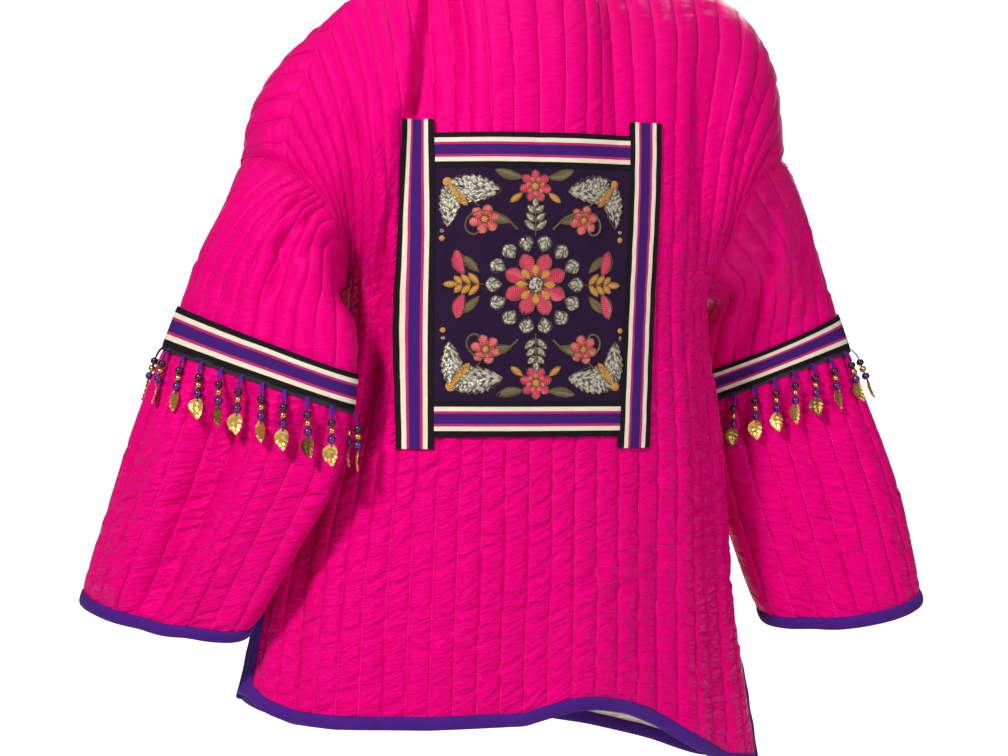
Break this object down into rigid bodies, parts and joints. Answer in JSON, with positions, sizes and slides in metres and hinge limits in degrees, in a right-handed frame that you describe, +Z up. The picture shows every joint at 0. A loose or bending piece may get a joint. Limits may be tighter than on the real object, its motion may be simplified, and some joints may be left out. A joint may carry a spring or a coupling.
{
  "type": "quilted jacket",
  "caption": "Loose hip-length jacket of channel-quilted cloth, worn form: wide sleeves with ribbon bands and beaded drops, framed panel on the back, bound edges, side vents, open front.",
  "frame": {"origin": "where the shoulders hold the jacket, between the two sides of the neck; the neck's sides lie at height 0", "axes": "+Z up; the back faces -Y, turned 15 degrees about Z so that its left side stands nearer; X runs across the jacket"},
  "size_m": [0.8922, 0.3739, 0.8592],
  "materials": {
    "magenta_silk": "quilted silk satin with a soft sheen, cream lining inside",
    "purple_binding": "ribbed grosgrain binding",
    "dark_ground": "dark purple cotton ground, embroidered",
    "striped_ribbon": "woven ribbon, lengthwise stripes of purple, pink, cream and black",
    "beads_and_leaves": "dark glass beads and antique gold coloured leaves"
  },
  "bodies": {
    "root": {"back": "magenta_silk", "front_left": "magenta_silk", "front_right": "magenta_silk", "sleeve_left": "magenta_silk", "sleeve_right": "magenta_silk", "binding_back": "purple_binding", "binding_front_left": "purple_binding", "binding_front_right": "purple_binding", "binding_neck": "purple_binding", "binding_cuff_left": "purple_binding", "binding_cuff_right": "purple_binding", "panel_ground": "dark_ground", "ribbon_left": "striped_ribbon", "ribbon_right": "striped_ribbon", "ribbon_top": "striped_ribbon", "ribbon_bottom": "striped_ribbon", "band_left": "striped_ribbon", "band_right": "striped_ribbon", "drops_left": "beads_and_leaves", "drops_right": "beads_and_leaves"}
  },
  "joints": []
}
